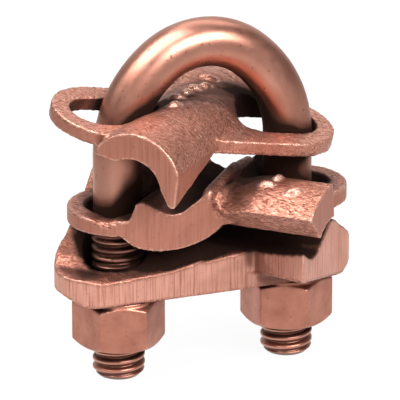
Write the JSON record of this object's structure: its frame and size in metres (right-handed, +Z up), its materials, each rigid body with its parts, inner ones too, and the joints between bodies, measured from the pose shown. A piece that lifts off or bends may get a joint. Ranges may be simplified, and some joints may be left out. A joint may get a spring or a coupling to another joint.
{
  "type": "cross cable connector",
  "caption": "U-bolt connector that clamps two crossing cables: an arched cap, a saddle grooved both ways and a grooved base ride on the legs and are drawn together by hex nuts.",
  "frame": {"origin": "The middle of the lower cable's way, halfway between the base's trough and the saddle's seat, on the connector's vertical axis.", "axes": "+X along the lower cable, +Y along the upper cable, +Z up towards the crown of the U-bolt. The two legs stand on the diagonal between +X and +Y and its opposite."},
  "size_m": [0.0463, 0.0464, 0.0633],
  "materials": {
    "drawn_rod": "satin drawn copper alloy, threads rolled on both ends",
    "cast_bronze": "rough copper-coloured casting with sheared, finely striated sides",
    "machined_nut": "smooth machined copper alloy"
  },
  "bodies": {
    "base": {"base": "cast_bronze"},
    "u_bolt": {"u_bolt": "drawn_rod"},
    "saddle": {"middle_saddle": "cast_bronze"},
    "cap": {"top_cap": "cast_bronze"},
    "left_nut": {"left_nut": "machined_nut"},
    "right_nut": {"right_nut": "machined_nut"}
  },
  "joints": [
    {"name": "u_bolt_slide", "type": "slide", "parent": "base", "child": "u_bolt", "axis": [0, 0, 1], "range_m": [-0.0008, 0.0054]},
    {"name": "left_nut_turn", "type": "hinge", "parent": "base", "child": "left_nut", "pos_m": [-0.01123, -0.01123, -0.0155], "axis": [0, 0, 1], "range_deg": [-1240, 200]},
    {"name": "right_nut_turn", "type": "hinge", "parent": "base", "child": "right_nut", "pos_m": [0.01123, 0.01123, -0.0155], "axis": [0, 0, 1], "range_deg": [-1240, 200]},
    {"name": "saddle_slide", "type": "slide", "parent": "base", "child": "saddle", "axis": [0, 0, 1], "range_m": [-0.0011, 0.0012]},
    {"name": "cap_slide", "type": "slide", "parent": "u_bolt", "child": "cap", "axis": [0, 0, 1], "range_m": [-0.0011, 0]}
  ],
  "couplings": [
    {"joint": "left_nut_turn", "follows": "u_bolt_slide", "rad_per_m": -3957.9},
    {"joint": "right_nut_turn", "follows": "u_bolt_slide", "rad_per_m": -3957.9}
  ]
}
